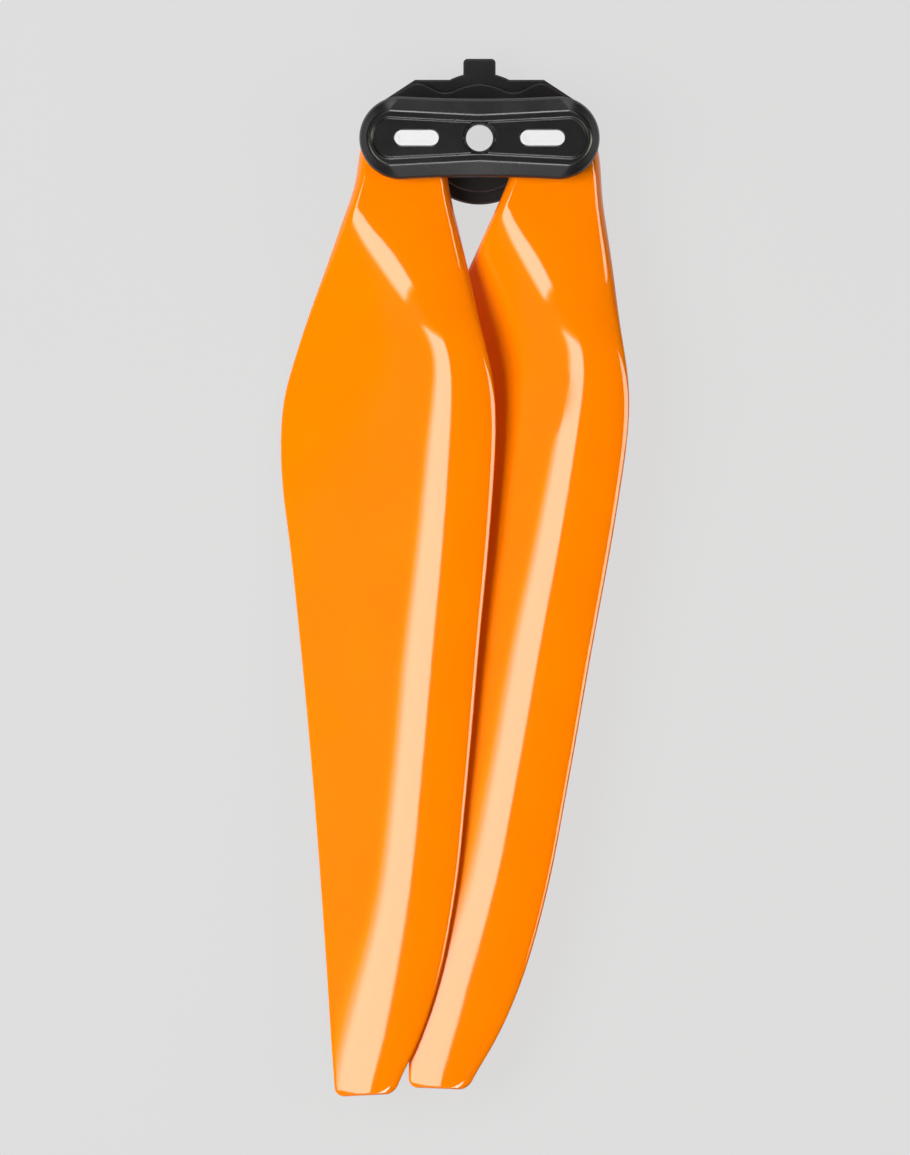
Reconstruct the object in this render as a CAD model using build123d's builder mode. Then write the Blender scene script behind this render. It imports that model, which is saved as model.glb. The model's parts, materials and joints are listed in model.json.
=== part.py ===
from build123d import *

# A folding two-blade propeller with a quick-release hub, in millimetres.
# The origin is on the motor axis, at the bottom face of the bayonet ring. +Z is up, the index tab points
# to +Y, and the folded blades lie side by side towards -Y, each with its leading edge on its +X side.

import os
from collections import namedtuple
from math import cos, hypot, pi, radians, sin, sqrt, tan

# ---------------------------------------------------------------- driving dimensions
PIVOT_X = 9.06  # each blade pivot, from the motor axis
SIDES = {"left": -1, "right": 1}
FOLD_TOE = {"left": 2.7, "right": 2.35}  # degrees that each folded blade leans towards the other

# Heights of the stack, from the bottom of the bayonet ring
RING_TOP = 3.2
LEDGE_TOP = 5.0  # lower tier of the base
BASE_TOP = 5.8  # upper tier of the base
COVER_BOTTOM = 10.8
SHOULDER_TOP = 12.5  # where the cover starts to slope in
COVER_TOP = 13.6
CHANNEL_FLOOR = 13.15
SLEEVE_TOP = 13.3

# Plan of the hub
END_R = 4.77  # rounded ends of the cover and the base, about each pivot
BACK_Y = 6.78  # straight back edge of the base
SLANT = 56.7  # degrees, direction in which the slanted back corners face
HUB_R = 7.6  # lower tier round the motor axis
TIER_R = 6.2  # upper tier round the motor axis
TAB_WIDTH = 3.72
TAB_Y = 9.2

# Motor shaft, pivots and washers
SHAFT_R = 1.55
SHAFT_SLEEVE_R = 1.85
PIVOT_R = 1.75
PIVOT_PLAY = 0.05  # radial, between a blade and its pivot sleeve
WASHER_R = 4.0
WASHER_T = 0.3
AXIAL_PLAY = 0.05  # above and below each blade root
FIT = 0.01  # radial gap of the fixed fits

SCREW_R = 0.8
SCREW_HEAD_R = 1.4
SCREW_HEAD_T = 0.9
SCREW_TOP = 12.0
INSERT_R = 1.3
INSERT_TOP = 12.2

# Bayonet ring
BAYONET_R = 7.3
POCKET_R = 5.0
SPIGOT_R = 5.8
POCKET_ROOF = 4.4
LUG_R = 4.1
LUG_T = 1.1
LUG_ARC = 40.0
LUG_COUNT = 3

# Blade root, and the aerofoil
ROOT_R = 4.6
ROOT_BOTTOM = BASE_TOP + WASHER_T + AXIAL_PLAY
ROOT_TOP = COVER_BOTTOM - WASHER_T - AXIAL_PLAY
ROOT_MID = (ROOT_BOTTOM + ROOT_TOP) / 2
ROOT_T = ROOT_TOP - ROOT_BOTTOM
NECK_T = 3.8  # the neck is a little thinner than the round boss that the washers bear on
NECK_EDGE = 1.0  # width over which the edges of the neck round off
TRAILING_T = 0.4
SECTION_STEPS = 10  # spline points along each face of a section

# Each station of the blade, outwards from its pivot: reach, leading edge, trailing edge, ridge where the
# blade bends, height of the ridge, slopes behind and ahead of it in degrees, softness of the bend,
# thickness, and how far the section is still the rounded bar of the root.
Station = namedtuple("Station", "reach lead trail ridge height rear front soft thick bar")
STATIONS = [
    Station(-1.5, 3.90, -3.90, -6.6, ROOT_MID, 0, 0, 1.0, NECK_T, 1.0),
    Station(1.5, 4.85, -4.95, -6.6, ROOT_MID, 0, 0, 1.0, NECK_T, 1.0),
    Station(5.0, 5.20, -5.40, -6.6, ROOT_MID, 10, 0, 1.0, NECK_T, 1.0),
    Station(7.0, 5.40, -6.25, -6.6, 8.30, 20, 0, 1.2, 3.7, 0.9),
    Station(10.0, 6.00, -7.50, -6.3, 8.35, 24, 0, 1.7, 3.4, 0.7),
    Station(15.0, 6.95, -9.50, -4.4, 8.50, 28, 1, 3.3, 2.9, 0.3),
    Station(18.0, 7.45, -10.80, -2.1, 8.70, 28.5, 1.5, 3.6, 2.6, 0.2),
    Station(22.0, 8.15, -12.40, 1.3, 9.75, 28.5, 2.5, 3.6, 2.3, 0.0),
    Station(25.0, 8.80, -13.50, 2.5, 9.90, 28.5, 3, 3.6, 2.2, 0.0),
    Station(29.0, 9.40, -14.85, 2.1, 9.85, 27.5, 3.5, 4.1, 2.05, 0.0),
    Station(33.5, 9.42, -15.45, 1.35, 9.70, 26.5, 3.8, 4.4, 1.95, 0.0),
    Station(39.0, 8.92, -15.55, 0.6, 9.40, 25.3, 4.1, 4.5, 1.85, 0.0),
    Station(46.0, 8.08, -15.00, -0.3, 9.05, 23.6, 4.5, 4.4, 1.75, 0.0),
    Station(58.0, 6.38, -14.30, -2.1, 8.60, 20.8, 5.0, 4.1, 1.6, 0.0),
    Station(74.0, 4.22, -13.60, -3.9, 8.10, 17.4, 5.4, 3.0, 1.4, 0.0),
    Station(88.0, 2.03, -13.20, -6.1, 7.80, 14.6, 5.6, 2.2, 1.2, 0.0),
    Station(98.0, -0.50, -13.00, -9.0, 7.70, 12.0, 5.5, 1.8, 1.05, 0.0),
    Station(104.0, -2.88, -12.90, -11.1, 7.60, 10.6, 5.4, 1.6, 0.95, 0.0),
    Station(107.8, -4.95, -12.80, -12.6, 7.55, 10.0, 5.3, 1.5, 0.85, 0.0),
    Station(109.9, -6.90, -12.00, -13.2, 7.50, 9.8, 5.3, 1.5, 0.75, 0.0),
]

os.makedirs("parts", exist_ok=True)


def save(part, name):
    """Name a finished part and write its STEP file."""
    part.label = name
    export_step(part, f"parts/{name}.step")


def level(height, x=0.0, y=0.0):
    """A horizontal plane at a height, with its origin over (x, y)."""
    return Plane((x, y, height))


# ---------------------------------------------------------------- blades
def camber(across, station):
    """Height of the blade's middle surface at a place across the station."""
    aft = station.ridge - across
    rear = tan(radians(station.rear))
    front = -tan(radians(station.front))
    return station.height - (rear + front) / 2 * hypot(aft, station.soft) - (rear - front) / 2 * aft


def half_thickness(share, station):
    """Half of the thickness at a share of the chord, 0 at the leading edge and 1 at the trailing edge."""
    thick = station.thick
    foil = 5 * thick * (
        0.2969 * sqrt(share) - 0.1260 * share - 0.3516 * share**2 + 0.2843 * share**3 - 0.1036 * share**4
    )
    inset = min(share, 1 - share) * (station.lead - station.trail)
    bar = thick / 2 * sqrt(1 - max(0.0, 1 - inset / NECK_EDGE) ** 2)
    blunt = share * TRAILING_T / 2
    return station.bar * max(bar, blunt) + (1 - station.bar) * (foil + blunt)


def section_points(station):
    """Points round a section: the upper face from the trailing edge, then the lower face back to it."""
    faces = {1: [], -1: []}
    for step in range(SECTION_STEPS + 1):
        share = (1 - cos(pi * step / SECTION_STEPS)) / 2
        across = station.lead + share * (station.trail - station.lead)
        for face in faces:
            height = camber(across, station) + face * half_thickness(share, station)
            faces[face].append((across, height))
    return faces[1][::-1] + faces[-1][1:]


for side, sign in SIDES.items():
    heading = radians(-90 - sign * FOLD_TOE[side])
    outward = Vector(cos(heading), sin(heading), 0)
    towards_lead = Vector(-sin(heading), cos(heading), 0)
    pivot = Vector(sign * PIVOT_X, 0, 0)

    with BuildPart() as blade:
        for station in STATIONS:
            with BuildSketch(Plane(pivot + outward * station.reach, towards_lead, outward)):
                with BuildLine():
                    outline = Spline(*section_points(station))
                    Line(outline @ 1, outline @ 0)
                make_face()
        loft()
        with BuildSketch(level(ROOT_BOTTOM, pivot.X)):
            Circle(ROOT_R)
        extrude(amount=ROOT_T)
        with BuildSketch(level(BASE_TOP, pivot.X)):
            Circle(PIVOT_R + PIVOT_PLAY)
        extrude(amount=COVER_BOTTOM - BASE_TOP, mode=Mode.SUBTRACT)
    save(blade.part, f"blade_{side}")

# ---------------------------------------------------------------- top cover
WAIST_Y = 4.5  # half the width of the cover at the middle
BAND_END_X = 10.5  # where the sloped bands meet the rounded ends
CREST_Y = (2.6, 3.15)  # half the width of the raised crest, at the middle and at the band ends
CREST_END_X = 12.9
FLOOR_Y = (1.75, 2.28)  # half the width of the channel floor, likewise
FLOOR_END_X = 12.35
MARKER_X = 7.25
MARKER_SIZE = (5.1, 1.75)
MARKER_T = 0.4
MARKER_PANEL = (4.0, 0.65)  # shallow panel in the face of a marker
MARKER_PANEL_DEPTH = 0.08
SHOULDER_CHAMFER = 0.25
CREST_FILLET = 0.4
CHANNEL_FILLET = 0.2


def mirrored(points):
    """Points of the back half, right to left, from those of its right quarter."""
    return points + [(-x, y) for x, y in reversed(points[:-1])]


def closed_outline(back, end_x):
    """An outline from the points of its back side, with a three-point arc round each end."""
    front = [(-x, -y) for x, y in back]
    for side_points in (back, front):
        for start, finish in zip(side_points, side_points[1:]):
            Line(start, finish)
    ThreePointArc(back[-1], (-end_x, 0), front[0])
    ThreePointArc(front[-1], (end_x, 0), back[0])


def cover_outline():
    """The plan of the cover: a long bar with round ends and gently waisted sides."""
    band_end_y = sqrt(END_R**2 - (BAND_END_X - PIVOT_X) ** 2)
    bulge = radians(82)
    for sign_y in (1, -1):
        for sign_x in (1, -1):
            shoulder = (
                sign_x * (PIVOT_X + END_R * cos(bulge)),
                sign_y * END_R * sin(bulge),
            )
            ThreePointArc(
                (sign_x * BAND_END_X, sign_y * band_end_y), shoulder, (sign_x * PIVOT_X, sign_y * END_R)
            )
            quarter = (sign_x * PIVOT_X / 2, sign_y * (WAIST_Y + (END_R - WAIST_Y) / 4))
            ThreePointArc((sign_x * PIVOT_X, sign_y * END_R), quarter, (0, sign_y * WAIST_Y))
    for sign_x in (1, -1):
        ThreePointArc(
            (sign_x * BAND_END_X, band_end_y),
            (sign_x * (PIVOT_X + END_R), 0),
            (sign_x * BAND_END_X, -band_end_y),
        )


crest_pivot_y = CREST_Y[0] + (CREST_Y[1] - CREST_Y[0]) * PIVOT_X / BAND_END_X
crest_back = mirrored([(BAND_END_X, CREST_Y[1]), (PIVOT_X, crest_pivot_y), (0, CREST_Y[0])])
floor_back = mirrored([(BAND_END_X, FLOOR_Y[1]), (0, FLOOR_Y[0])])

with BuildPart() as top_cover:
    with BuildSketch(level(COVER_BOTTOM)):
        with BuildLine():
            cover_outline()
        make_face()
    extrude(amount=SHOULDER_TOP - COVER_BOTTOM)
    with BuildSketch(level(SHOULDER_TOP)):
        with BuildLine():
            cover_outline()
        make_face()
    with BuildSketch(level(COVER_TOP)):
        with BuildLine():
            closed_outline(crest_back, CREST_END_X)
        make_face()
    loft(ruled=True)
    fillet(top_cover.edges().group_by(Axis.Z)[-1], CREST_FILLET)
    chamfer(top_cover.edges().filter_by_position(Axis.Z, SHOULDER_TOP, SHOULDER_TOP), SHOULDER_CHAMFER)
    with BuildSketch(level(CHANNEL_FLOOR)):
        with BuildLine():
            closed_outline(floor_back, FLOOR_END_X)
        make_face()
    extrude(amount=COVER_TOP - CHANNEL_FLOOR, mode=Mode.SUBTRACT)
    fillet(top_cover.faces().sort_by(Axis.Z)[-1].inner_wires()[0].edges(), CHANNEL_FILLET)
    with BuildSketch(level(COVER_BOTTOM)):
        Circle(SHAFT_SLEEVE_R + FIT)
    extrude(amount=COVER_TOP - COVER_BOTTOM, mode=Mode.SUBTRACT)
    with BuildSketch(level(CHANNEL_FLOOR - MARKER_T)):
        with Locations((-MARKER_X, 0), (MARKER_X, 0)):
            SlotOverall(MARKER_SIZE[0] + 2 * FIT, MARKER_SIZE[1] + 2 * FIT)
    extrude(amount=MARKER_T, mode=Mode.SUBTRACT)
    with BuildSketch(level(COVER_BOTTOM)):
        with Locations((-PIVOT_X, 0), (PIVOT_X, 0)):
            Circle(INSERT_R + FIT)
    extrude(amount=INSERT_TOP - COVER_BOTTOM, mode=Mode.SUBTRACT)
save(top_cover.part, "top_cover")

# ---------------------------------------------------------------- white markers in the cover
for side, sign in SIDES.items():
    with BuildPart() as marker:
        with BuildSketch(level(CHANNEL_FLOOR - MARKER_T, sign * MARKER_X)):
            SlotOverall(*MARKER_SIZE)
        extrude(amount=MARKER_T)
        with BuildSketch(level(CHANNEL_FLOOR - MARKER_PANEL_DEPTH, sign * MARKER_X)):
            Rectangle(*MARKER_PANEL)
        extrude(amount=MARKER_PANEL_DEPTH, mode=Mode.SUBTRACT)
    save(marker.part, f"marker_{side}")

# ---------------------------------------------------------------- hub base
CORNER_FILLET = 0.5
TIER_END_R = 4.55  # rounded ends of the upper tier, a little inside those of the lower one
WAVE = [(7.95, 6.15), (7.1, 6.36), (4.45, 5.33), (0, 6.28)]  # right half of the upper tier's back edge
LEDGE_CHAMFER = 0.2
TIER_CHAMFER = 0.15
POST_SIZE = (6.0, 6.8)
POST_Y = 0.2
STOP_BAR = (10.4, 1.1)  # bar across the back of the post, whose ends stop the blades
STOP_BACK_Y = 4.4
STOP_GAP = 0.8  # between the bar and the blade roots
SPIGOT_DEPTH = 1.15
RING_SCREW_X = 5.6
RING_SCREW_Y = 3.2
RING_SCREW_R = 0.5
RING_SCREW_TOP = 4.7
HEAD_GAP = 0.1  # round and under each screw head


def slant_start(end_r):
    """Where the slanted side leaves the rounded end, on the +X side."""
    return PIVOT_X + end_r * cos(radians(SLANT)), end_r * sin(radians(SLANT))


touch = slant_start(END_R)
slant_run = (BACK_Y - touch[1]) / cos(radians(SLANT))
corner = (touch[0] - slant_run * sin(radians(SLANT)), BACK_Y)
tier_touch = slant_start(TIER_END_R)
PIVOT_PLACES = [(-PIVOT_X, 0), (PIVOT_X, 0)]

with BuildPart() as hub_base:
    # Lower tier: two lands, the straight back with its slanted corners, the round hub and the index tab
    with BuildSketch(level(RING_TOP)):
        with Locations(*PIVOT_PLACES):
            Circle(END_R)
        Circle(HUB_R)
        Polygon(touch, corner, (-corner[0], corner[1]), (-touch[0], touch[1]), *PIVOT_PLACES, align=None)
        with Locations((0, TAB_Y / 2)):
            Rectangle(TAB_WIDTH, TAB_Y)
    extrude(amount=LEDGE_TOP - RING_TOP)
    tall_corners = hub_base.edges().filter_by(Axis.Z).group_by(Axis.Y)
    fillet(tall_corners[-1], CORNER_FILLET)
    chamfer(hub_base.faces().sort_by(Axis.Z)[-1].edges(), LEDGE_CHAMFER)
    # Upper tier, with a waved back edge
    with BuildSketch(level(LEDGE_TOP)):
        with Locations(*PIVOT_PLACES):
            Circle(TIER_END_R)
        Circle(TIER_R)
        with BuildLine():
            wave = Spline(*mirrored(WAVE))
            Polyline(wave @ 1, (-tier_touch[0], tier_touch[1]), *PIVOT_PLACES, tier_touch, wave @ 0)
        make_face()
    extrude(amount=BASE_TOP - LEDGE_TOP)
    chamfer(hub_base.faces().sort_by(Axis.Z)[-1].edges(), TIER_CHAMFER)
    # Post between the blade roots
    with BuildSketch(level(BASE_TOP, 0, POST_Y)):
        RectangleRounded(*POST_SIZE, 0.8)
    extrude(amount=COVER_BOTTOM - BASE_TOP)
    # Bar whose ends the necks of the blades meet when they swing to the back
    with BuildSketch(level(BASE_TOP)):
        with Locations((0, STOP_BACK_Y - STOP_BAR[1] / 2)):
            Rectangle(*STOP_BAR)
        with Locations(*PIVOT_PLACES):
            Circle(ROOT_R + STOP_GAP, mode=Mode.SUBTRACT)
    extrude(amount=COVER_BOTTOM - BASE_TOP)
    # Pocket for the motor's bayonet, the shaft bore, the pivot screws and the ring screws
    with BuildSketch(level(RING_TOP)):
        Circle(SPIGOT_R + FIT)
    extrude(amount=POCKET_ROOF - RING_TOP, mode=Mode.SUBTRACT)
    with BuildSketch(level(RING_TOP)):
        Circle(SHAFT_SLEEVE_R + FIT)
    extrude(amount=COVER_BOTTOM - RING_TOP, mode=Mode.SUBTRACT)
    with BuildSketch(level(RING_TOP)):
        with Locations(*PIVOT_PLACES):
            Circle(SCREW_R + HEAD_GAP)
    extrude(amount=BASE_TOP - RING_TOP, mode=Mode.SUBTRACT)
    with BuildSketch(level(RING_TOP)):
        with Locations(*PIVOT_PLACES):
            Circle(SCREW_HEAD_R + HEAD_GAP)
    extrude(amount=SCREW_HEAD_T + HEAD_GAP, mode=Mode.SUBTRACT)
    with BuildSketch(level(RING_TOP)):
        with GridLocations(2 * RING_SCREW_X, 2 * RING_SCREW_Y, 2, 2):
            Circle(RING_SCREW_R + FIT)
    extrude(amount=RING_SCREW_TOP - RING_TOP, mode=Mode.SUBTRACT)
save(hub_base.part, "hub_base")

# ---------------------------------------------------------------- bayonet ring
RING_HEAD_R = 0.75
RING_HEAD_T = 0.7
RING_CHAMFER = 0.3
LUG_START = 90  # degrees, the first lug is below the index tab
LUG_ROOT = 0.5  # how far each lug runs into the wall of the ring
DETENT = (1.0, 0.25)  # width and depth of the groove that the motor's spring catches

with BuildPart() as bayonet_ring:
    with BuildSketch(level(0)):
        Circle(BAYONET_R)
        Circle(POCKET_R, mode=Mode.SUBTRACT)
    extrude(amount=RING_TOP)
    chamfer(bayonet_ring.edges().filter_by(GeomType.CIRCLE).group_by(Axis.Z)[0], RING_CHAMFER)
    with BuildSketch(level(RING_TOP)):
        Circle(SPIGOT_R)
        Circle(POCKET_R, mode=Mode.SUBTRACT)
    extrude(amount=SPIGOT_DEPTH)
    # Inward lugs, each with a detent groove across its upper face
    with BuildSketch(level(RING_CHAMFER)):
        with PolarLocations(0, LUG_COUNT, start_angle=LUG_START):
            half = radians(LUG_ARC / 2)
            Polygon((0, 0), (HUB_R, -HUB_R * tan(half)), (HUB_R, HUB_R * tan(half)), align=None)
        Circle(POCKET_R + LUG_ROOT, mode=Mode.INTERSECT)
        Circle(LUG_R, mode=Mode.SUBTRACT)
    extrude(amount=LUG_T)
    with BuildSketch(level(RING_CHAMFER + LUG_T - DETENT[1])):
        with PolarLocations((LUG_R + POCKET_R) / 2, LUG_COUNT, start_angle=LUG_START):
            Rectangle(POCKET_R - LUG_R, DETENT[0])
    extrude(amount=DETENT[1], mode=Mode.SUBTRACT)
    with BuildSketch(level(0)):
        with GridLocations(2 * RING_SCREW_X, 2 * RING_SCREW_Y, 2, 2):
            Circle(RING_SCREW_R + HEAD_GAP / 2)
    extrude(amount=RING_TOP, mode=Mode.SUBTRACT)
    with BuildSketch(level(0)):
        with GridLocations(2 * RING_SCREW_X, 2 * RING_SCREW_Y, 2, 2):
            Circle(RING_HEAD_R + HEAD_GAP / 2)
    extrude(amount=RING_HEAD_T + HEAD_GAP, mode=Mode.SUBTRACT)
save(bayonet_ring.part, "bayonet_ring")

# ---------------------------------------------------------------- shaft sleeve
with BuildPart() as shaft_sleeve:
    with BuildSketch(level(POCKET_ROOF)):
        Circle(SHAFT_SLEEVE_R)
        Circle(SHAFT_R, mode=Mode.SUBTRACT)
    extrude(amount=SLEEVE_TOP - POCKET_ROOF)
save(shaft_sleeve.part, "shaft_sleeve")

# ---------------------------------------------------------------- pivot hardware, one set on each side
PIVOT_BORE_R = 0.9
SOCKET_R = 0.7
SOCKET_DEPTH = 0.5
INSERT_BORE_R = 0.82
INSERT_GAP = 0.05  # between each insert and the top of the pivot sleeve
INSERT_GROOVE = (0.15, 0.35)  # depth and width of the groove round an insert

for side, sign in SIDES.items():
    place = sign * PIVOT_X

    with BuildPart() as pivot_sleeve:
        with BuildSketch(level(BASE_TOP, place)):
            Circle(PIVOT_R)
            Circle(PIVOT_BORE_R, mode=Mode.SUBTRACT)
        extrude(amount=COVER_BOTTOM - BASE_TOP)
    save(pivot_sleeve.part, f"pivot_sleeve_{side}")

    for layer, bottom in {"lower": BASE_TOP, "upper": COVER_BOTTOM - WASHER_T}.items():
        with BuildPart() as washer:
            with BuildSketch(level(bottom, place)):
                Circle(WASHER_R)
                Circle(PIVOT_R + PIVOT_PLAY, mode=Mode.SUBTRACT)
            extrude(amount=WASHER_T)
        save(washer.part, f"{layer}_washer_{side}")

    with BuildPart() as pivot_screw:
        with BuildSketch(level(RING_TOP + HEAD_GAP, place)):
            Circle(SCREW_HEAD_R)
        extrude(amount=SCREW_HEAD_T)
        with BuildSketch(level(RING_TOP + HEAD_GAP, place)):
            Circle(SCREW_R)
        extrude(amount=SCREW_TOP - RING_TOP - HEAD_GAP)
        with BuildSketch(level(RING_TOP + HEAD_GAP, place)):
            RegularPolygon(SOCKET_R, 6)
        extrude(amount=SOCKET_DEPTH, mode=Mode.SUBTRACT)
    save(pivot_screw.part, f"pivot_screw_{side}")

    with BuildPart() as threaded_insert:
        with BuildSketch(level(COVER_BOTTOM + INSERT_GAP, place)):
            Circle(INSERT_R)
        extrude(amount=INSERT_TOP - COVER_BOTTOM - INSERT_GAP)
        groove_bottom = (COVER_BOTTOM + INSERT_GAP + INSERT_TOP - INSERT_GROOVE[1]) / 2
        with BuildSketch(level(groove_bottom, place)):
            Circle(INSERT_R)
            Circle(INSERT_R - INSERT_GROOVE[0], mode=Mode.SUBTRACT)
        extrude(amount=INSERT_GROOVE[1], mode=Mode.SUBTRACT)
        with BuildSketch(level(COVER_BOTTOM, place)):
            Circle(INSERT_BORE_R)
        extrude(amount=INSERT_TOP - COVER_BOTTOM, mode=Mode.SUBTRACT)
    save(threaded_insert.part, f"threaded_insert_{side}")

# ---------------------------------------------------------------- screws that hold the bayonet ring
RING_SOCKET_R = 0.35
RING_SOCKET_DEPTH = 0.4
RING_SCREW_LENGTH = 4.5

for row, sign in {"front": -1, "back": 1}.items():
    with BuildPart() as ring_screws:
        places = [(-RING_SCREW_X, sign * RING_SCREW_Y), (RING_SCREW_X, sign * RING_SCREW_Y)]
        with BuildSketch(level(HEAD_GAP)):
            with Locations(*places):
                Circle(RING_HEAD_R)
        extrude(amount=RING_HEAD_T)
        with BuildSketch(level(HEAD_GAP)):
            with Locations(*places):
                Circle(RING_SCREW_R)
        extrude(amount=RING_SCREW_LENGTH)
        with BuildSketch(level(HEAD_GAP)):
            with Locations(*places):
                RegularPolygon(RING_SOCKET_R, 6)
        extrude(amount=RING_SOCKET_DEPTH, mode=Mode.SUBTRACT)
    save(ring_screws.part, f"ring_screws_{row}")
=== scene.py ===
"""A folding quick-release drone propeller, folded and seen from straight above in soft studio light.

The hub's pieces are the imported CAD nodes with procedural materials. Each blade is rebuilt here as one
smooth mesh, from the same stations as the CAD blade that it replaces but with a rounder tip. Lengths in
the blade's table and in the values beside it are in millimetres, and everything in the scene is in metres.
"""

import json
import math

import bmesh
import bpy
import numpy as np
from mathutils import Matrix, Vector


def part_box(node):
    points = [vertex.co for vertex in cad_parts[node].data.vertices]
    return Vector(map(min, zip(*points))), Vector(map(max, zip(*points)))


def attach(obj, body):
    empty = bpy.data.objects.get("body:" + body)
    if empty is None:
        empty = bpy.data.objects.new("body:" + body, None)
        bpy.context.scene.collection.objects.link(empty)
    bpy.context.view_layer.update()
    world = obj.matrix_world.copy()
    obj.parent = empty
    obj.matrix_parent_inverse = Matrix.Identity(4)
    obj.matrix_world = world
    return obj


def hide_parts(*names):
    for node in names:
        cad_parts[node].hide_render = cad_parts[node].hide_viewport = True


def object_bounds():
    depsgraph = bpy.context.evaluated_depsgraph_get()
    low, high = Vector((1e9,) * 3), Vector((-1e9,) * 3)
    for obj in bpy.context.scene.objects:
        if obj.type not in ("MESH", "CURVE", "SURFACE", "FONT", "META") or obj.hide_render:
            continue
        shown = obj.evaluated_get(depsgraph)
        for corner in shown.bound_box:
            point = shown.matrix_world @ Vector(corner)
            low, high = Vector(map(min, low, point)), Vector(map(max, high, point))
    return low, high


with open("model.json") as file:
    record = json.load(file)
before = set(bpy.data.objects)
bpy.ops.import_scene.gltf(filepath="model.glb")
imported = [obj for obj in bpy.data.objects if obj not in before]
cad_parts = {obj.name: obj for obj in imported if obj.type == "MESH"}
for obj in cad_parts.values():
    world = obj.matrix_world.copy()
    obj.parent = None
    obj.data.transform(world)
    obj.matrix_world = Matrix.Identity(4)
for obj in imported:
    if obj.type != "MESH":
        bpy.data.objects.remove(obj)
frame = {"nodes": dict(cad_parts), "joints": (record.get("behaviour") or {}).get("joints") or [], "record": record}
CAD_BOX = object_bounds()
NODES = frame["nodes"]
MM = 0.001
WELD = 1e-7  # metres

# ---------------------------------------------------------------- blade dimensions, in millimetres
SIDES = {"left": -1, "right": 1}
FOLD_TOE = {"left": 2.7, "right": 2.35}  # degrees that each folded blade leans towards the other
ROOT_R = 4.6
BORE_R = 1.8
ROOT_CHAMFER = 0.2
AXIAL_PLAY = 0.05  # between the root and the washer above or below it
NECK_T = 3.8
NECK_EDGE = 1.0  # width over which the edges of the neck round off
TRAILING_T = 0.4
TRAILING_ROUND = 0.24
TIP_ROUND = 1.1  # radius of the tip's corners
END_ROUND = 0.2  # length over which the tip's edge closes
END_LEAST = 0.02
PAD_STEPS = ((6.1, 0.03), (6.95, 0.025))  # radius and height of the shallow steps round the root
PAD_EDGE = 0.18
PAD_MARGIN = (0.4, 1.6)  # distances from the edges of the blade over which the steps fade in
FACE_POINTS = 72  # points across each face of a section
RING_SPACING = 0.5
ROOT_RING_SPACING = 0.16
ROOT_RINGS_TO = 8.5
TIP_RINGS = 14
TURNED_SIDES = 128
SHARP_ANGLE = 35  # degrees between two faces, above which their edge is shaded as sharp

# Each station of the blade, outwards from its pivot: reach, leading edge, trailing edge, ridge of the bend,
# height of the ridge above the pivot joint, slopes behind and ahead of it in degrees, softness of the bend,
# thickness, and how far the section is still the rounded bar of the root.
COLUMNS = "reach lead trail ridge height rear front soft thick bar".split()
STATIONS = np.array([
    (-1.5, 3.90, -3.90, -6.6, 0.0, 0, 0, 1.0, NECK_T, 1.0),
    (1.5, 4.85, -4.95, -6.6, 0.0, 0, 0, 1.0, NECK_T, 1.0),
    (5.0, 5.20, -5.40, -6.6, 0.0, 10, 0, 1.0, NECK_T, 1.0),
    (7.0, 5.40, -6.25, -6.6, 0.0, 20, 0, 1.2, 3.7, 0.9),
    (10.0, 6.00, -7.50, -6.3, 0.05, 24, 0, 1.7, 3.4, 0.7),
    (15.0, 6.95, -9.50, -4.4, 0.2, 28, 1, 3.3, 2.9, 0.3),
    (18.0, 7.45, -10.80, -2.1, 0.4, 28.5, 1.5, 3.6, 2.6, 0.2),
    (22.0, 8.15, -12.40, 1.3, 1.45, 28.5, 2.5, 3.6, 2.3, 0.0),
    (25.0, 8.80, -13.50, 2.5, 1.6, 28.5, 3, 3.6, 2.2, 0.0),
    (29.0, 9.40, -14.85, 2.1, 1.55, 27.5, 3.5, 4.1, 2.05, 0.0),
    (33.5, 9.42, -15.45, 1.35, 1.4, 26.5, 3.8, 4.4, 1.95, 0.0),
    (39.0, 8.92, -15.55, 0.6, 1.1, 25.3, 4.1, 4.5, 1.85, 0.0),
    (46.0, 8.08, -15.00, -0.3, 0.75, 23.6, 4.5, 4.4, 1.75, 0.0),
    (58.0, 6.38, -14.30, -2.1, 0.3, 20.8, 5.0, 4.1, 1.6, 0.0),
    (74.0, 4.22, -13.60, -3.9, -0.2, 17.4, 5.4, 3.0, 1.4, 0.0),
    (88.0, 2.03, -13.20, -6.1, -0.5, 14.6, 5.6, 2.2, 1.2, 0.0),
    (98.0, -0.50, -13.00, -9.0, -0.6, 12.0, 5.5, 1.8, 1.05, 0.0),
    (104.0, -2.88, -12.90, -11.1, -0.7, 10.6, 5.4, 1.6, 0.95, 0.0),
    (107.8, -4.95, -12.80, -12.6, -0.75, 10.0, 5.3, 1.5, 0.85, 0.0),
    (109.9, -6.20, -12.75, -13.2, -0.8, 9.8, 5.3, 1.5, 0.80, 0.0),
])
SMOOTHING = 1.6  # spread of the averaging along the blade
SMOOTHING_REACH = 2.5  # how far the averaging goes, in spreads
SMOOTHING_STEPS = 21


# ---------------------------------------------------------------- blade mesh
def hermite(x, knots, values):
    """A smooth curve through the stations, its slope at each taken from its neighbours."""
    slopes = np.gradient(values, knots)
    place = np.clip(np.searchsorted(knots, x) - 1, 0, len(knots) - 2)
    span = knots[place + 1] - knots[place]
    t = (x - knots[place]) / span
    start, finish = values[place], values[place + 1]
    return (
        start * (2 * t**3 - 3 * t**2 + 1)
        + finish * (3 * t**2 - 2 * t**3)
        + span * slopes[place] * (t**3 - 2 * t**2 + t)
        + span * slopes[place + 1] * (t**3 - t**2)
    )


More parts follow.
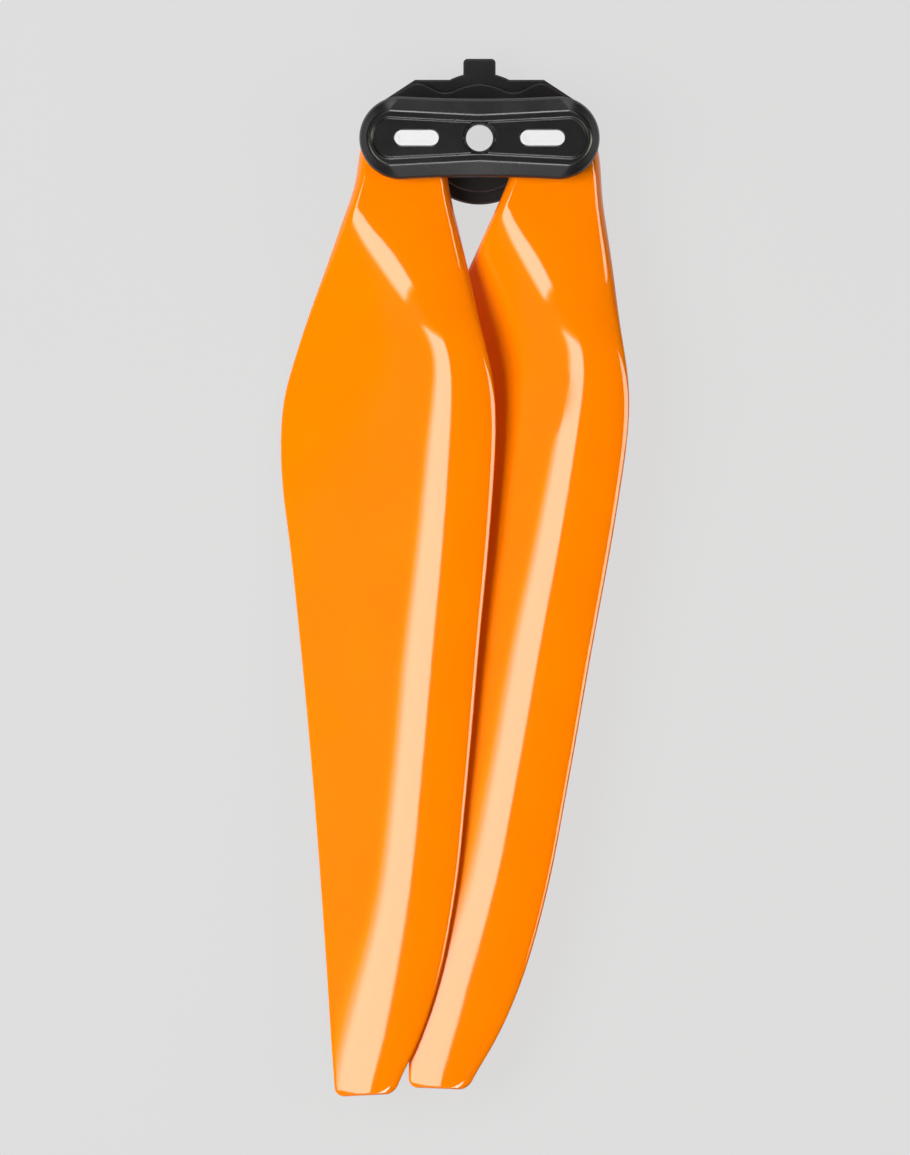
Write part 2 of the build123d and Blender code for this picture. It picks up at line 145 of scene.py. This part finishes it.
def smoothed(x, knots, values):
    """The curve through the stations, averaged along the blade so that reflections flow over it."""
    total, weights = 0.0, 0.0
    for shift in np.linspace(-SMOOTHING_REACH, SMOOTHING_REACH, SMOOTHING_STEPS):
        weight = math.exp(-shift * shift / 2)
        near = np.clip(x + shift * SMOOTHING, knots[0], knots[-1])
        far = np.clip(x - shift * SMOOTHING, knots[0], knots[-1])
        # Mirrored about x, so that the ends of the blade keep their place
        total = total + weight * (hermite(near, knots, values) + hermite(far, knots, values)) / 2
        weights += weight
    return total / weights


def smooth_step(value, low, high):
    t = np.clip((value - low) / (high - low), 0, 1)
    return t * t * (3 - 2 * t)


def ring_reaches():
    """Places of the rings along the blade: close together at the root and at the tip's round end."""
    start, end = STATIONS[0, 0], STATIONS[-1, 0]
    root = np.arange(start, ROOT_RINGS_TO, ROOT_RING_SPACING)
    body = np.arange(ROOT_RINGS_TO, end - TIP_ROUND, RING_SPACING)
    angles = np.linspace(0, math.pi / 2, TIP_RINGS)
    tip = end - TIP_ROUND + TIP_ROUND * np.sin(angles)
    return np.concatenate([root, body, tip])


def section(reach, at):
    """One ring of (across, height) points in millimetres, from the trailing edge over the top and back."""
    end = STATIONS[-1, 0]
    past = max(0.0, reach - (end - TIP_ROUND))
    inset = TIP_ROUND - math.sqrt(max(0.0, TIP_ROUND**2 - past**2))
    lead, trail = at["lead"] - inset, at["trail"] + inset
    chord = lead - trail
    share = (1 - np.cos(np.linspace(0, math.pi, FACE_POINTS))) / 2
    across = lead - share * chord
    aft = at["ridge"] - across
    rear, front = math.tan(math.radians(at["rear"])), -math.tan(math.radians(at["front"]))
    camber = at["height"] - (rear + front) / 2 * np.hypot(aft, at["soft"]) - (rear - front) / 2 * aft
    closing = max(0.0, reach - (end - END_ROUND)) / END_ROUND
    half = half_thickness(share, chord, at) * max(END_LEAST, math.sqrt(max(0.0, 1 - closing**2)))
    radius = np.hypot(across, reach)
    pad = 0.0
    for step, height in PAD_STEPS:
        pad = pad + height * (1 - smooth_step(radius, step - PAD_EDGE, step + PAD_EDGE))
    edge = np.minimum(share, 1 - share) * chord
    pad = pad * smooth_step(edge, *PAD_MARGIN)
    top = list(zip(across, camber + half + pad))[::-1]
    bottom = list(zip(across, camber - half))[1:-1]
    return top + bottom


def half_thickness(share, chord, at):
    """Half of the thickness across a section: a rounded bar that becomes a four-digit aerofoil."""
    thick, bar_share = at["thick"], np.clip(at["bar"], 0, 1)
    foil = 5 * thick * (
        0.2969 * np.sqrt(share) - 0.1260 * share - 0.3516 * share**2 + 0.2843 * share**3 - 0.1036 * share**4
    )
    foil = foil + share * TRAILING_T / 2
    to_trail = (1 - share) * chord
    foil *= np.sqrt(1 - np.clip(1 - to_trail / TRAILING_ROUND, 0, 1) ** 2)
    edge = np.minimum(share, 1 - share) * chord
    bar = thick / 2 * np.sqrt(1 - np.clip(1 - edge / NECK_EDGE, 0, 1) ** 2)
    return bar_share * bar + (1 - bar_share) * foil


def mesh_object(name, vertices, faces):
    mesh = bpy.data.meshes.new(name)
    mesh.from_pydata(vertices, [], faces)
    mesh.validate()
    thing = bpy.data.objects.new(name, mesh)
    bpy.context.scene.collection.objects.link(thing)
    return thing


def blade_shell(name, pivot, outward, towards_lead):
    """The closed skin of a blade without its pivot boss."""
    reaches = ring_reaches()
    curves = {column: smoothed(reaches, STATIONS[:, 0], STATIONS[:, i]) for i, column in enumerate(COLUMNS)}
    rings = []
    for i, reach in enumerate(reaches):
        rings.append(section(reach, {column: values[i] for column, values in curves.items()}))
    count = len(rings[0])
    vertices = []
    for reach, ring in zip(reaches, rings):
        for across, height in ring:
            vertices.append(pivot + (outward * reach + towards_lead * across + Vector((0, 0, height))) * MM)
    faces = []
    for i in range(len(rings) - 1):
        for j in range(count):
            k = (j + 1) % count
            faces.append((i * count + j, i * count + k, (i + 1) * count + k, (i + 1) * count + j))
    faces += end_cap(0, count)
    faces += [tuple(reversed(face)) for face in end_cap((len(rings) - 1) * count, count)]
    shell = mesh_object(name, vertices, faces)
    outward_normals(shell)
    return shell


def end_cap(first, count):
    """Quads that close one ring, each joining a point of the top face to the one below it."""
    faces = []
    for j in range(FACE_POINTS - 1):
        k = count - j
        upper, upper_next = first + j, first + j + 1
        lower, lower_next = first + k % count, first + (k - 1) % count
        corners = []
        for corner in (upper, lower, lower_next, upper_next):
            if corner not in corners:
                corners.append(corner)
        if len(corners) > 2:
            faces.append(tuple(corners))
    return faces


def outward_normals(thing):
    work = bmesh.new()
    work.from_mesh(thing.data)
    bmesh.ops.recalc_face_normals(work, faces=work.faces)
    work.to_mesh(thing.data)
    work.free()


def turned(name, profile, centre):
    """A closed ring turned from a profile of (radius, height) points, in millimetres."""
    vertices, faces = [], []
    count = len(profile)
    for i in range(TURNED_SIDES):
        angle = 2 * math.pi * i / TURNED_SIDES
        for radius, height in profile:
            place = Vector((radius * math.cos(angle), radius * math.sin(angle), height)) * MM
            vertices.append(centre + place)
        following = (i + 1) % TURNED_SIDES
        for j in range(count):
            k = (j + 1) % count
            faces.append((i * count + j, i * count + k, following * count + k, following * count + j))
    ring = mesh_object(name, vertices, faces)
    outward_normals(ring)
    return ring


def combine(thing, tool, operation):
    """Applies one Boolean step, and removes the tool."""
    step = thing.modifiers.new(operation.lower(), "BOOLEAN")
    step.operation = operation
    step.solver = "EXACT"
    step.object = tool
    graph = bpy.context.evaluated_depsgraph_get()
    result = bpy.data.meshes.new_from_object(thing.evaluated_get(graph))
    thing.modifiers.clear()
    thing.data = result
    bpy.data.objects.remove(tool)


def blade(side, sign):
    """A whole blade: the aerofoil with its neck, the round boss and the pivot bore."""
    node = f"blade_{side}"
    joint = next(j for j in frame["joints"] if j["child"] == node)
    pivot = Vector(joint["pos_m"])
    heading = math.radians(-90 - sign * FOLD_TOE[side])
    outward = Vector((math.cos(heading), math.sin(heading), 0))
    towards_lead = Vector((-math.sin(heading), math.cos(heading), 0))
    boss_low = (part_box(f"lower_washer_{side}")[1].z - pivot.z) / MM + AXIAL_PLAY
    boss_high = (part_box(f"upper_washer_{side}")[0].z - pivot.z) / MM - AXIAL_PLAY
    shell = blade_shell(f"{side}_blade", pivot, outward, towards_lead)
    cut = ROOT_CHAMFER
    boss = turned("boss", [
        (BORE_R / 2, boss_low), (ROOT_R - cut, boss_low), (ROOT_R, boss_low + cut),
        (ROOT_R, boss_high - cut), (ROOT_R - cut, boss_high), (BORE_R / 2, boss_high),
    ], pivot)
    combine(shell, boss, "UNION")
    past = 2 * (boss_high - boss_low)
    bore = turned("bore", [(0.0, -past), (BORE_R, -past), (BORE_R, past), (0.0, past)], pivot)
    # The profile touches the axis, so its points there are joined into one
    welded = bmesh.new()
    welded.from_mesh(bore.data)
    bmesh.ops.remove_doubles(welded, verts=welded.verts, dist=WELD)
    welded.to_mesh(bore.data)
    welded.free()
    combine(shell, bore, "DIFFERENCE")
    for polygon in shell.data.polygons:
        polygon.use_smooth = True
    shell.data.set_sharp_from_angle(angle=math.radians(SHARP_ANGLE))
    return shell


# ---------------------------------------------------------------- materials
# Scales are in cycles for each metre, and depths and radii in metres.
IOR = 1.5
DRIFT_SCALE = 90  # slow changes of tone
GLOSS_SCALE = 240
GRAIN_STRENGTH = 0.5
METAL_SCALE = 2600
METAL_STRENGTH = 0.3
METAL_DEPTH = 0.00001
NOISE_MIDDLE = (0.3, 0.7)  # the part of a noise's range that most of it falls in
EDGE_SAMPLES = 8


def principled(name, colour, roughness):
    material = bpy.data.materials.new(name)
    material.use_nodes = True
    shader = material.node_tree.nodes["Principled BSDF"]
    shader.inputs["Base Color"].default_value = (*colour, 1)
    shader.inputs["Roughness"].default_value = roughness
    shader.inputs["IOR"].default_value = IOR
    return material, material.node_tree, shader


def noise(tree, scale, detail=3.0):
    coordinates = tree.nodes.new("ShaderNodeTexCoord")
    texture = tree.nodes.new("ShaderNodeTexNoise")
    texture.inputs["Scale"].default_value = scale
    texture.inputs["Detail"].default_value = detail
    tree.links.new(coordinates.outputs["Object"], texture.inputs["Vector"])
    return texture.outputs["Fac"]


def spread(tree, value, low, high):
    """Maps the middle of a noise onto a range of numbers."""
    ranged = tree.nodes.new("ShaderNodeMapRange")
    ranged.inputs["From Min"].default_value, ranged.inputs["From Max"].default_value = NOISE_MIDDLE
    ranged.inputs["To Min"].default_value, ranged.inputs["To Max"].default_value = low, high
    tree.links.new(value, ranged.inputs["Value"])
    return ranged.outputs["Result"]


def blend_colours(tree, value, first, second):
    mixed = tree.nodes.new("ShaderNodeMix")
    mixed.data_type = "RGBA"
    mixed.inputs["A"].default_value = (*first, 1)
    mixed.inputs["B"].default_value = (*second, 1)
    tree.links.new(value, mixed.inputs["Factor"])
    return mixed.outputs["Result"]


def bump(tree, shader, value, strength, distance):
    """Raises the surface a little by a noise, and gives the node so that its normal can be set."""
    node = tree.nodes.new("ShaderNodeBump")
    node.inputs["Strength"].default_value = strength
    node.inputs["Distance"].default_value = distance
    tree.links.new(value, node.inputs["Height"])
    tree.links.new(node.outputs["Normal"], shader.inputs["Normal"])
    return node


def soften_edges(tree, grain, radius):
    """Widens how the edges catch the light."""
    bevel = tree.nodes.new("ShaderNodeBevel")
    bevel.samples = EDGE_SAMPLES
    bevel.inputs["Radius"].default_value = radius
    tree.links.new(bevel.outputs["Normal"], grain.inputs["Normal"])


def moulded_plastic(name, colours, roughness, grain_scale, grain_depth, edge_radius=0.0):
    """Moulded plastic: slow drifts of tone and gloss, and the fine grain of the mould."""
    material, tree, shader = principled(name, colours[0], sum(roughness) / 2)
    drift = spread(tree, noise(tree, DRIFT_SCALE), 0, 1)
    tree.links.new(blend_colours(tree, drift, *colours), shader.inputs["Base Color"])
    tree.links.new(spread(tree, noise(tree, GLOSS_SCALE), *roughness), shader.inputs["Roughness"])
    grain = bump(tree, shader, noise(tree, grain_scale, 2.0), GRAIN_STRENGTH, grain_depth)
    if edge_radius:
        soften_edges(tree, grain, edge_radius)
    return material


def machined_metal(name, colours, roughness):
    """Machined metal: a fine grain in the colour, the gloss and the surface."""
    material, tree, shader = principled(name, colours[0], sum(roughness) / 2)
    shader.inputs["Metallic"].default_value = 1.0
    grain = noise(tree, METAL_SCALE, 1.0)
    tree.links.new(blend_colours(tree, spread(tree, grain, 0, 1), *colours), shader.inputs["Base Color"])
    tree.links.new(spread(tree, grain, *roughness), shader.inputs["Roughness"])
    bump(tree, shader, grain, METAL_STRENGTH, METAL_DEPTH)
    return material


BLADE_ORANGE = moulded_plastic(
    "blade_orange", ((0.95, 0.200, 0.0), (0.95, 0.212, 0.0)), (0.045, 0.06), 500, 0.000001
)
COVER_BLACK = moulded_plastic(
    "cover_black", ((0.008, 0.008, 0.0083), (0.011, 0.011, 0.0113)), (0.23, 0.29), 5200, 0.0000015,
    edge_radius=0.00025,
)
BASE_BLACK = moulded_plastic(
    "base_black", ((0.014, 0.014, 0.0143), (0.018, 0.018, 0.0183)), (0.20, 0.26), 4200, 0.000006
)
MARKER_WHITE = moulded_plastic(
    "marker_white", ((0.68, 0.68, 0.68), (0.72, 0.72, 0.72)), (0.40, 0.50), 3500, 0.000004
)
WASHER_FILM = moulded_plastic(
    "washer_film", ((0.05, 0.05, 0.05), (0.07, 0.07, 0.07)), (0.35, 0.45), 3000, 0.000004
)
SLEEVE_METAL = machined_metal("sleeve_metal", ((0.03, 0.03, 0.032), (0.05, 0.05, 0.052)), (0.28, 0.455))
STEEL = machined_metal("steel", ((0.45, 0.45, 0.46), (0.58, 0.58, 0.59)), (0.224, 0.364))
BRASS = machined_metal("brass", ((0.62, 0.43, 0.16), (0.74, 0.54, 0.22)), (0.24, 0.39))
SLOT_MATERIALS = {
    "cover": COVER_BLACK,
    "base": BASE_BLACK,
    "marker": MARKER_WHITE,
    "washer": WASHER_FILM,
    "sleeve": SLEEVE_METAL,
    "steel": STEEL,
    "brass": BRASS,
}

# ---------------------------------------------------------------- the object
for subpart in frame["record"]["subparts"]:
    material = SLOT_MATERIALS.get(subpart["material_slot"])
    if material:
        for slot in NODES[subpart["node"]].material_slots:
            slot.material = material

for side, sign in SIDES.items():
    piece = blade(side, sign)
    piece.data.materials.clear()
    piece.data.materials.append(BLADE_ORANGE)
    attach(piece, f"blade_{side}")
    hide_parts(f"blade_{side}")

# ---------------------------------------------------------------- floor, light and camera
LOW, HIGH = CAD_BOX
CENTRE = (LOW + HIGH) / 2
LENGTH = HIGH.y - LOW.y
HUB = Vector((0, 0, HIGH.z))
LENS = 1200  # millimetres, like the sensor's height
SENSOR = 36
FRAME_FILL = 0.9  # share of the picture's height that the propeller takes
FLOOR_GLOW = 0.66  # the floor is a light table, so that the shaft bore and the gaps show it
FLOOR_SPAN = 12  # half its side, in lengths of the propeller
FLOOR_GAP = 0.0001
FLOOR_COLOURS = ((0.03, 0.03, 0.03), (0.04, 0.04, 0.04))
FLOOR_DRIFT_SCALE = 6
FLOOR_ROUGHNESS = 0.9
AMBIENT = 0.12
WHITE = (1.0, 1.0, 1.0)
WARM_WHITE = (1.0, 1.0, 0.91)
PALE_YELLOW = (1.0, 0.96, 0.8)

# Lights that shape the shade: name, the point that each is set up about, the angles in degrees towards +X
# and +Y that its edges lie at, height above that point, and radiance
SHADE_LIGHTS = (
    ("key_light", CENTRE, (-57, -20), (-25, 25), 0.4, 8.9),
    ("fill_light", CENTRE, (32, 60), (-25, 25), 0.4, 2.1),
)
# Lights that are there for their reflections: the same, and then the colour. The edge light draws the
# leading edges, the line lights draw the edges of the cover's crest and channel, and the low lights draw the
# edges below them.
MIRRORED_LIGHTS = (
    ("edge_light", CENTRE, (32, 75), (-21, 14), 0.3, 8.5, PALE_YELLOW),
    ("back_line_light", HUB, (-7, 7), (22, 48), 0.3, 16.5, WHITE),
    ("front_line_light", HUB, (-7, 7), (-52, -28), 0.3, 14.5, WHITE),
    ("back_low_light", HUB, (-60, 60), (72, 84), 0.3, 3.0, WHITE),
    ("front_low_light", HUB, (-40, 40), (-72, -55), 0.3, 1.0, WHITE),
)
# Bands of the light that draws the streak along each blade, which fades and yellows at its -X and +Y ends:
# edges in degrees towards +X and +Y, radiance, colour
STREAK_HEIGHT = 0.26
STREAK_X = (-27.5, -14.5)
STREAK_Y = (-17, 4.4)
STREAK_BANDS = (
    ((-26, -14.5), STREAK_Y, 9.3, WARM_WHITE),
    ((-27.5, -26), STREAK_Y, 8.0, WARM_WHITE),
    ((-29, -27.5), STREAK_Y, 5.5, (1.0, 0.95, 0.8)),
    ((-30.5, -29), STREAK_Y, 3.6, (1.0, 0.9, 0.5)),
    ((-32.5, -30.5), STREAK_Y, 1.6, (1.0, 0.8, 0.05)),
    (STREAK_X, (4.4, 5.2), 7.0, WARM_WHITE),
    (STREAK_X, (5.2, 6.4), 3.6, (1.0, 0.9, 0.5)),
    (STREAK_X, (6.4, 8.2), 2.0, (1.0, 0.8, 0.15)),
)


def floor():
    """A plain pale floor that glows a little."""
    size = FLOOR_SPAN * LENGTH
    corners = [(-size, -size), (size, -size), (size, size), (-size, size)]
    plane = mesh_object("floor", [(x, y, LOW.z - FLOOR_GAP) for x, y in corners], [(0, 1, 2, 3)])
    material, tree, shader = principled("floor_table", FLOOR_COLOURS[0], FLOOR_ROUGHNESS)
    shader.inputs["Emission Color"].default_value = (*WHITE, 1)
    shader.inputs["Emission Strength"].default_value = FLOOR_GLOW
    tone = spread(tree, noise(tree, FLOOR_DRIFT_SCALE), 0, 1)
    tree.links.new(blend_colours(tree, tone, *FLOOR_COLOURS), shader.inputs["Base Color"])
    plane.data.materials.append(material)


def softbox(name, about, tilts_x, tilts_y, distance, radiance, colour=WHITE, mirrored=False):
    """A softbox in a level plane above the object.

    The tilts are the pairs of angles from straight above, towards +X and +Y, that its edges lie at, as seen
    from the point that it is set up about. A mirrored one is there for its reflection alone, and the others
    light the object without being seen in it, so that highlights and shade are set up one by one.
    """
    left, right = (distance * math.tan(math.radians(tilt)) for tilt in tilts_x)
    front, back = (distance * math.tan(math.radians(tilt)) for tilt in tilts_y)
    light = bpy.data.lights.new(name, "AREA")
    light.shape = "RECTANGLE"
    light.size, light.size_y = right - left, back - front
    light.energy = radiance * math.pi * light.size * light.size_y
    light.color = colour
    lamp = bpy.data.objects.new(name, light)
    bpy.context.scene.collection.objects.link(lamp)
    lamp.location = about + Vector(((left + right) / 2, (front + back) / 2, distance))
    lamp.visible_glossy = mirrored
    lamp.visible_diffuse = not mirrored


def studio():
    """An ambient world that no surface mirrors, and the softboxes."""
    scene = bpy.context.scene
    scene.view_settings.view_transform = "Standard"
    world = bpy.data.worlds.new("studio")
    scene.world = world
    world.use_nodes = True
    world.node_tree.nodes["Background"].inputs["Color"].default_value = (*WHITE, 1)
    world.node_tree.nodes["Background"].inputs["Strength"].default_value = AMBIENT
    world.cycles_visibility.glossy = False
    for light in SHADE_LIGHTS:
        softbox(*light)
    for tilts_x, tilts_y, radiance, colour in STREAK_BANDS:
        softbox("streak_light", CENTRE, tilts_x, tilts_y, STREAK_HEIGHT, radiance, colour, mirrored=True)
    for light in MIRRORED_LIGHTS:
        softbox(*light, mirrored=True)


def camera():
    """A long lens that looks straight down on the middle of the propeller."""
    data = bpy.data.cameras.new("camera")
    data.lens = LENS
    data.sensor_fit = "VERTICAL"
    data.sensor_height = SENSOR
    eye = bpy.data.objects.new("camera", data)
    bpy.context.scene.collection.objects.link(eye)
    distance = LENGTH / FRAME_FILL * data.lens / data.sensor_height
    eye.location = Vector((CENTRE.x, CENTRE.y, HIGH.z + distance))
    bpy.context.scene.camera = eye


floor()
studio()
camera()
